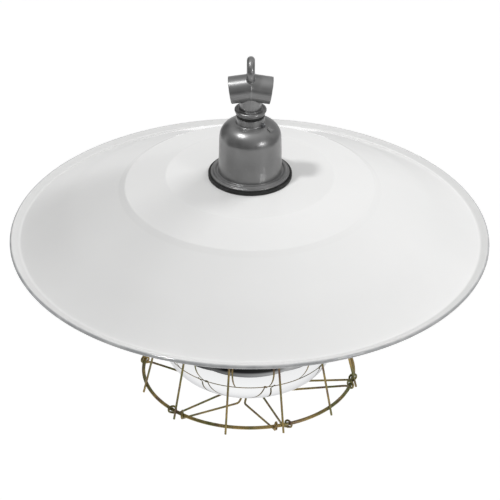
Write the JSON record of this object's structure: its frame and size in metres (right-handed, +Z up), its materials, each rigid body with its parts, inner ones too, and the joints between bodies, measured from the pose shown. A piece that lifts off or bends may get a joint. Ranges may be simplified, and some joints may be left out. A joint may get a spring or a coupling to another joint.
{
  "type": "heat lamp fixture",
  "caption": "Hanging heat lamp fixture: wide enamelled shade, cast bell with a cable inlet head and eye, and a wire guard with swing-down loops around a mirror bowl lamp.",
  "frame": {"origin": "centre of the hanging eye's hole", "axes": "+Z up along the lamp's axis, +X along the eye's hole, the cable inlets along +X and -X, the front towards -Y"},
  "size_m": [0.5, 0.5, 0.399],
  "materials": {
    "grey_paint": "satin grey paint over a casting",
    "black_rubber": "matt",
    "white_enamel": "glossy vitreous enamel",
    "yellow_zinc_wire": "yellow passivated zinc",
    "porcelain": "glazed porcelain",
    "brass": "plain",
    "lamp_glass": "clear",
    "mirror_coat": "silvered",
    "nickelled_cap": "nickel plated",
    "black_cap_glass": "black glass",
    "solder": "dull solder",
    "tungsten": "dark",
    "bright_zinc": "bright zinc"
  },
  "bodies": {
    "head": {"inlet_head": "grey_paint", "head_locknut": "bright_zinc", "neck_seal": "black_rubber"},
    "housing": {"bell_housing": "grey_paint", "head_grub_screw": "bright_zinc", "earth_screw": "brass", "flange_gasket": "black_rubber", "shade": "white_enamel", "lower_gasket": "black_rubber", "guard_gallery": "bright_zinc", "flange_screws": "bright_zinc", "guard_cleats": "bright_zinc", "cleat_screws": "bright_zinc", "lampholder_body": "porcelain", "lampholder_shell": "brass", "centre_contact": "brass", "holder_strap": "bright_zinc", "holder_screws": "bright_zinc", "terminal_live": "brass", "terminal_neutral": "brass", "terminal_screws": "bright_zinc", "guard_top_ring": "yellow_zinc_wire", "guard_ring": "yellow_zinc_wire", "guard_wire_01": "yellow_zinc_wire", "guard_wire_02": "yellow_zinc_wire", "guard_wire_03": "yellow_zinc_wire", "guard_wire_04": "yellow_zinc_wire", "guard_wire_05": "yellow_zinc_wire", "guard_wire_06": "yellow_zinc_wire", "guard_wire_07": "yellow_zinc_wire", "guard_wire_08": "yellow_zinc_wire", "guard_wire_09": "yellow_zinc_wire", "guard_wire_10": "yellow_zinc_wire", "guard_wire_11": "yellow_zinc_wire", "guard_wire_12": "yellow_zinc_wire"},
    "lamp": {"bulb_glass": "lamp_glass", "bulb_mirror": "mirror_coat", "bulb_cap": "nickelled_cap", "cap_insulator": "black_cap_glass", "cap_contact": "solder", "bulb_stem": "lamp_glass", "filament_supports": "tungsten", "bulb_filament": "tungsten"},
    "petal_1": {"guard_petal_1": "yellow_zinc_wire"},
    "petal_2": {"guard_petal_2": "yellow_zinc_wire"},
    "petal_3": {"guard_petal_3": "yellow_zinc_wire"},
    "petal_4": {"guard_petal_4": "yellow_zinc_wire"},
    "petal_5": {"guard_petal_5": "yellow_zinc_wire"},
    "petal_6": {"guard_petal_6": "yellow_zinc_wire"}
  },
  "joints": [
    {"name": "head_turn", "type": "hinge", "parent": "head", "child": "housing", "pos_m": [0, 0, 0], "axis": [0, 0, 1], "range_deg": [-170, 170]},
    {"name": "lamp_screw", "type": "hinge", "parent": "housing", "child": "lamp", "pos_m": [0, 0, -0.1], "axis": [0, 0, -1], "range_deg": [0, 1080]},
    {"name": "petal_1_swing", "type": "hinge", "parent": "housing", "child": "petal_1", "pos_m": [0.09542, 0.03174, -0.362], "axis": [0.3156, -0.9489, 0], "range_deg": [0, 100]},
    {"name": "petal_2_swing", "type": "hinge", "parent": "housing", "child": "petal_2", "pos_m": [0.02022, 0.09851, -0.362], "axis": [0.9796, -0.2011, 0], "range_deg": [0, 100]},
    {"name": "petal_3_swing", "type": "hinge", "parent": "housing", "child": "petal_3", "pos_m": [-0.0752, 0.06677, -0.362], "axis": [0.6639, 0.7478, 0], "range_deg": [0, 100]},
    {"name": "petal_4_swing", "type": "hinge", "parent": "housing", "child": "petal_4", "pos_m": [-0.09542, -0.03174, -0.362], "axis": [-0.3156, 0.9489, 0], "range_deg": [0, 100]},
    {"name": "petal_5_swing", "type": "hinge", "parent": "housing", "child": "petal_5", "pos_m": [-0.02022, -0.09851, -0.362], "axis": [-0.9796, 0.2011, 0], "range_deg": [0, 100]},
    {"name": "petal_6_swing", "type": "hinge", "parent": "housing", "child": "petal_6", "pos_m": [0.0752, -0.06677, -0.362], "axis": [-0.6639, -0.7478, 0], "range_deg": [0, 100]}
  ]
}
